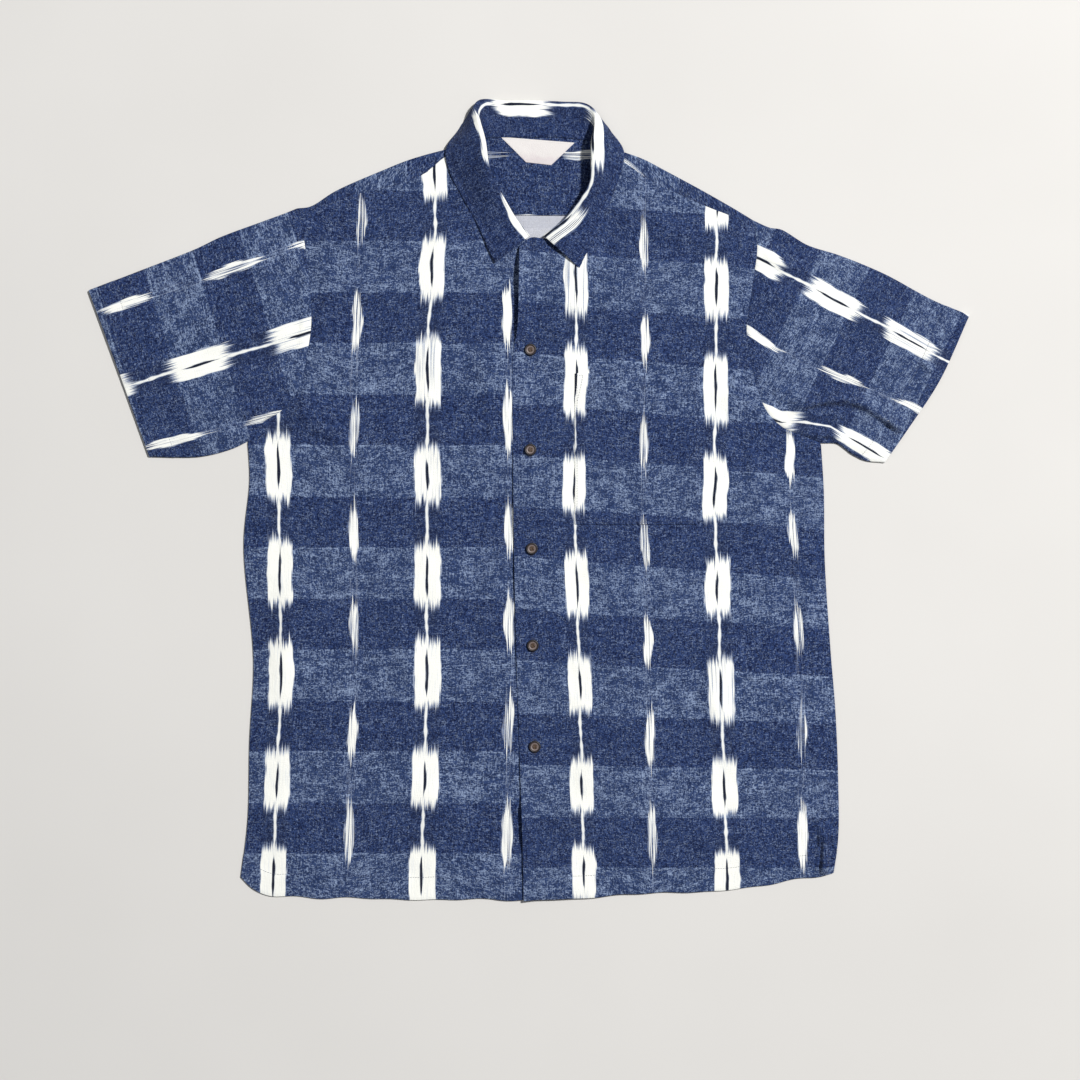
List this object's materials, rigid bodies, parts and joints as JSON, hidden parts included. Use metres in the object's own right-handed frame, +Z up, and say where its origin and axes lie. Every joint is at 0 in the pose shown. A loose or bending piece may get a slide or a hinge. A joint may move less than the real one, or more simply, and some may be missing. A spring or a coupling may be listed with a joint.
{
  "type": "hawaiian shirt laid flat",
  "caption": "Short-sleeved open-front shirt in indigo ikat cotton, buttoned and laid flat front up, with a rolled camp collar, a chest pocket and coconut-shell buttons.",
  "frame": {"origin": "centre of the bounding box at its underside, on the surface that the shirt lies on", "axes": "+Z up, away from the surface and out of the fronts; +Y from the hem to the collar; +X to the wearer's left"},
  "size_m": [0.914, 0.8305, 0.024],
  "materials": {
    "ikat_cotton": "matt plain-woven indigo cotton with lighter slub bands and feathered white resist-dyed dashes",
    "label_weave": "satin off-white woven label, plain",
    "coconut_shell": "satin dark brown coconut shell with blue-grey thread"
  },
  "bodies": {
    "root": {"back": "ikat_cotton", "yoke_outer": "ikat_cotton", "yoke_inner": "ikat_cotton", "front_right": "ikat_cotton", "front_left": "ikat_cotton", "sleeve_right": "ikat_cotton", "sleeve_left": "ikat_cotton", "collar": "ikat_cotton", "pocket": "ikat_cotton", "label": "label_weave", "button_1": "coconut_shell", "button_2": "coconut_shell", "button_3": "coconut_shell", "button_4": "coconut_shell", "button_5": "coconut_shell"}
  },
  "joints": []
}
